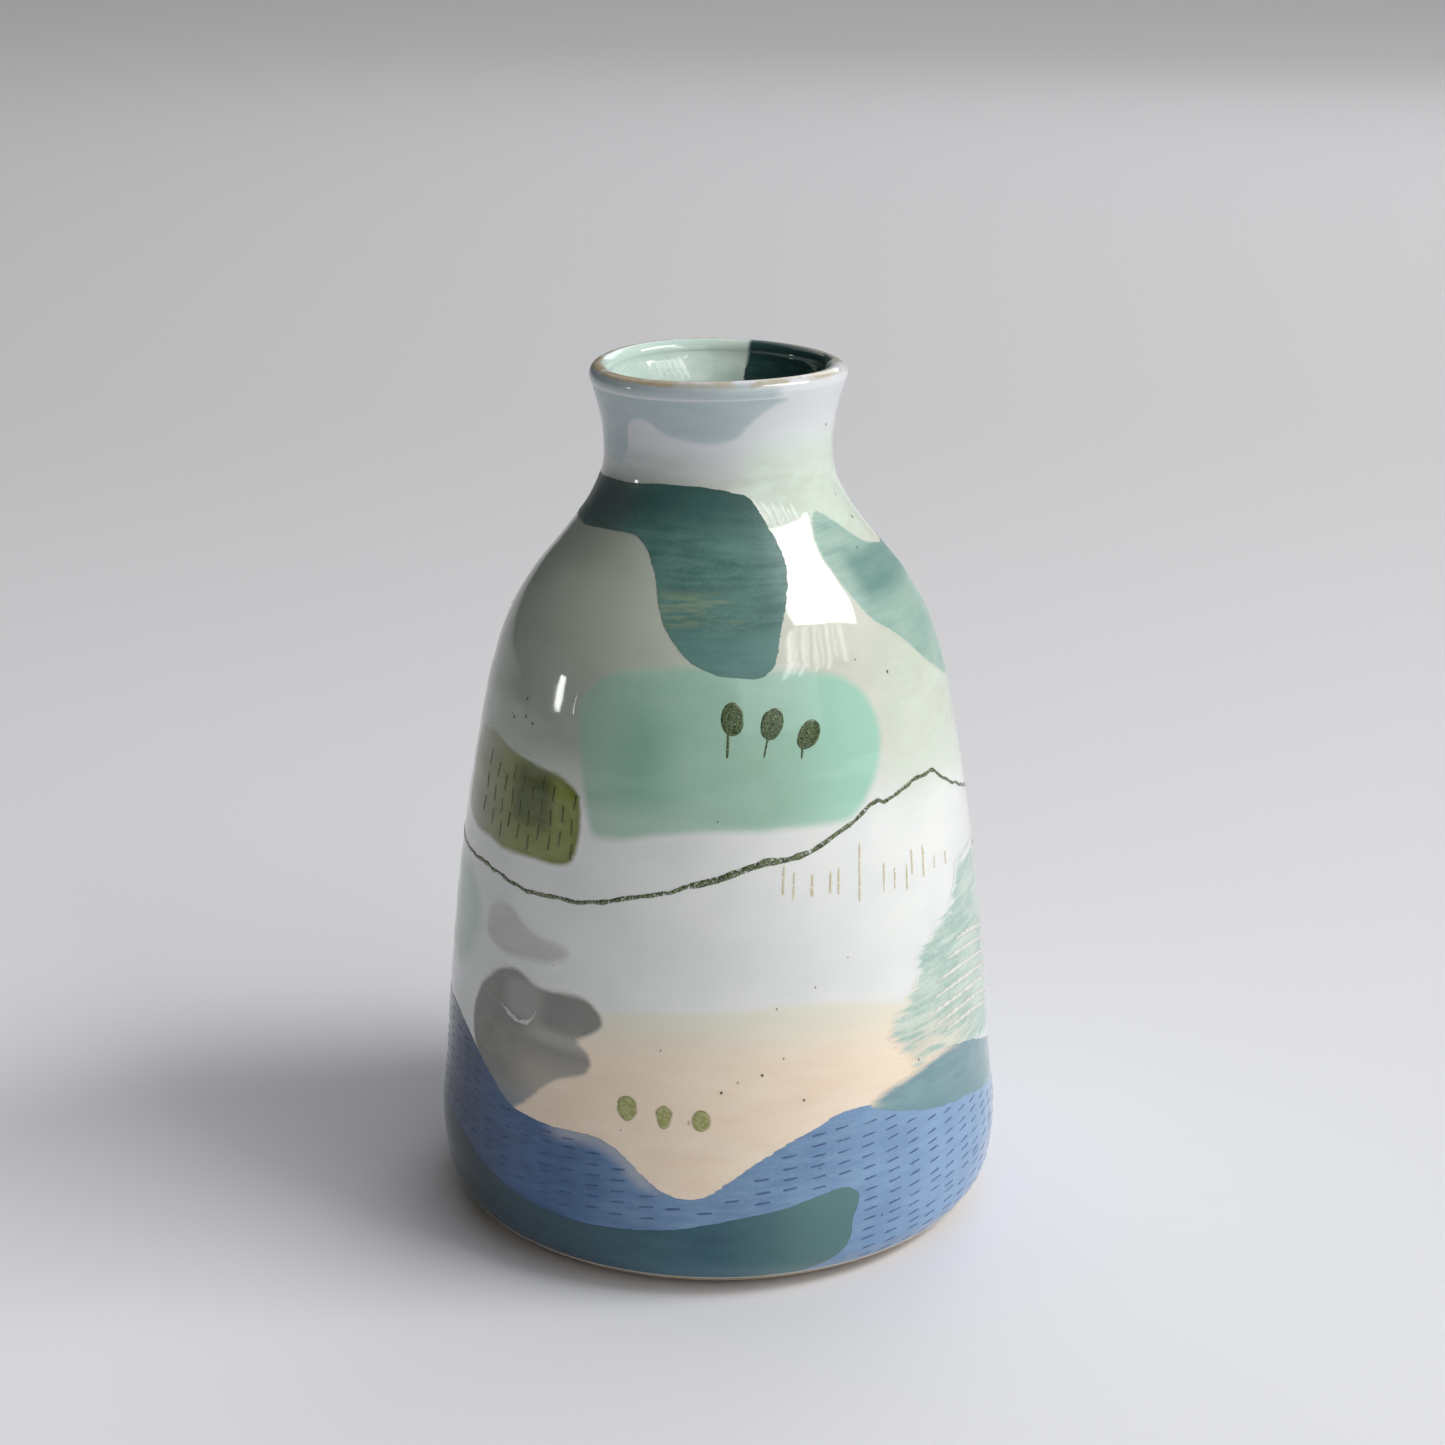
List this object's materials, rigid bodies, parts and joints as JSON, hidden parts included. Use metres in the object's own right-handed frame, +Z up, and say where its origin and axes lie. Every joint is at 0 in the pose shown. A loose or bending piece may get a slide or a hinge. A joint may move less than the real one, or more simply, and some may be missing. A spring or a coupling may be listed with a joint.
{
  "type": "bud vase",
  "caption": "Small round bud vase with a barrel body, rounded shoulder and flared narrow neck, slip-painted with a landscape under clear glaze.",
  "frame": {"origin": "centre of the foot, on the surface that the vase stands on", "axes": "+Z up along the axis of the turned shape; -Y towards the painted front with the three small trees; +X to its right"},
  "size_m": [0.0764, 0.0764, 0.114],
  "materials": {
    "fired_clay": "pale fired clay, bare and buff on the foot ring",
    "clear_glaze": "clear gloss glaze, slightly pooled",
    "blue_slip": "blue slip with darker brushed dashes",
    "shore_green_slip": "dark sea-green slip",
    "peach_slip": "warm sand-peach slip",
    "grey_slip": "grey slip, brushed in overlapping strokes",
    "pale_grey_slip": "thin grey wash",
    "olive_slip": "olive slip with darker dashes",
    "mint_slip": "mint slip, soft edged",
    "teal_slip": "dark teal slip with level brush marks",
    "pale_teal_slip": "thinner teal slip, brushed",
    "blue_grey_slip": "blue-grey wash",
    "pale_mint_slip": "pale mint slip, scratched through",
    "sea_teal_slip": "grey-teal slip",
    "dark_teal_slip": "thick dark teal slip",
    "inside_mint_slip": "pale mint slip"
  },
  "bodies": {
    "root": {"clay_body": "fired_clay", "liner_glaze": "clear_glaze", "outer_glaze": "clear_glaze", "slip_blue_sea": "blue_slip", "slip_green_shore": "shore_green_slip", "slip_peach_sand": "peach_slip", "slip_grey_rock": "grey_slip", "slip_grey_cloud": "pale_grey_slip", "slip_olive_field": "olive_slip", "slip_mint_panel": "mint_slip", "slip_teal_shoulder": "teal_slip", "slip_teal_headland": "pale_teal_slip", "slip_lip_blue_grey": "blue_grey_slip", "slip_mint_cliff": "pale_mint_slip", "slip_teal_inlet": "sea_teal_slip", "slip_mint_meadow": "pale_mint_slip", "slip_back_sand": "peach_slip", "slip_back_field": "olive_slip", "slip_back_panel": "mint_slip", "slip_inside_teal": "dark_teal_slip", "slip_inside_mint": "inside_mint_slip"}
  },
  "joints": []
}
